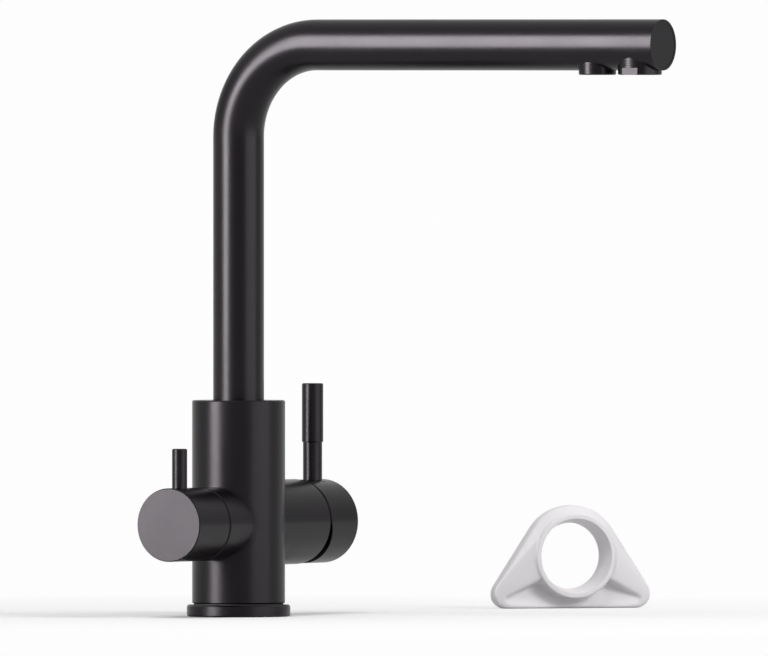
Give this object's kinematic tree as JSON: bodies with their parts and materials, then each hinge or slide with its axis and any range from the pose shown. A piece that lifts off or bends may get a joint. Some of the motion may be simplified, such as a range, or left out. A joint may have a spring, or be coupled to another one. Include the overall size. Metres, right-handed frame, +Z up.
{
  "type": "three way filtered water tap",
  "caption": "Kitchen tap with a column, a tall square swivel spout with two outlets, a side lever mixer, a side knob for filtered water and a loose stabiliser plate.",
  "frame": {"origin": "centre of the base ring's underside, on the column's axis", "axes": "+Z up along the column, +X towards the outlets with the spout straight ahead, -Y towards the filtered water knob, +Y towards the mixer"},
  "size_m": [0.2994, 0.3942, 0.3285],
  "materials": {
    "satin_black": "satin black coating on brass and steel",
    "brass": "turned",
    "steel": "plain",
    "ceramic": "lapped",
    "rubber": "plain",
    "polymer": "moulded",
    "dark_polymer": "moulded",
    "white_plastic": "glossy"
  },
  "bodies": {
    "tap_body": {"base_ring": "satin_black", "base_seal": "rubber", "deck_seal": "rubber", "valve_body": "satin_black", "cartridge_base": "dark_polymer", "cartridge_seals": "rubber", "mixer_fixed_disc": "ceramic", "cartridge_housing": "polymer", "cartridge_nut": "brass", "cartridge_cover": "dark_polymer", "filter_seat_seal": "rubber", "filter_headwork": "brass", "filter_fixed_disc": "ceramic", "spout_retaining_screw": "steel", "lower_slip_ring": "polymer", "upper_slip_ring": "dark_polymer"},
    "spout": {"spout_tube": "satin_black", "spout_spigot": "brass", "spout_seals": "rubber", "spout_end_cap": "satin_black", "filtered_water_tube": "polymer", "filter_tube_seal": "rubber", "filtered_outlet_collar": "satin_black", "filtered_outlet_nozzle": "polymer", "mixed_outlet_collar": "satin_black", "aerator_housing": "satin_black", "aerator_insert": "polymer", "aerator_washer": "rubber"},
    "mixer_turntable": {"mixer_rotor": "dark_polymer", "stem_pivot_pin": "steel"},
    "mixer_handle": {"mixer_stem": "brass", "mixer_cap": "satin_black", "mixer_lever_pin": "satin_black", "mixer_lever_grip": "satin_black"},
    "disc_carriage": {"disc_carrier": "polymer", "mixer_moving_disc": "ceramic"},
    "filter_control": {"filter_spindle": "brass", "filter_moving_disc": "ceramic", "filter_spindle_seal": "rubber", "filter_spindle_clip": "steel", "filter_knob": "satin_black", "filter_lever_pin": "satin_black"},
    "stabiliser_plate": {"mounting_bracket": "white_plastic"}
  },
  "joints": [
    {"name": "spout_swivel", "type": "hinge", "parent": "tap_body", "child": "spout", "pos_m": [0, 0, 0.1], "axis": [0, 0, 1], "range_deg": [-180, 180]},
    {"name": "filter_turn", "type": "hinge", "parent": "tap_body", "child": "filter_control", "pos_m": [0, -0.06, 0.0513], "axis": [0, 1, 0], "range_deg": [0, 90]},
    {"name": "mixer_turn", "type": "hinge", "parent": "tap_body", "child": "mixer_turntable", "pos_m": [0, 0.054, 0.0513], "axis": [0, 1, 0], "range_deg": [-45, 45]},
    {"name": "mixer_tilt", "type": "hinge", "parent": "mixer_turntable", "child": "mixer_handle", "pos_m": [0, 0.054, 0.0513], "axis": [-1, 0, 0], "range_deg": [0, 13]},
    {"name": "disc_slide", "type": "slide", "parent": "mixer_turntable", "child": "disc_carriage", "axis": [0, 0, 1], "range_m": [0, 0.00507]},
    {"name": "plate_lift", "type": "slide", "parent": "tap_body", "child": "stabiliser_plate", "axis": [0, 0, 1], "range_m": [0, 0.12]}
  ],
  "couplings": [
    {"joint": "disc_slide", "follows": "mixer_tilt", "m_per_rad": 0.022308}
  ]
}
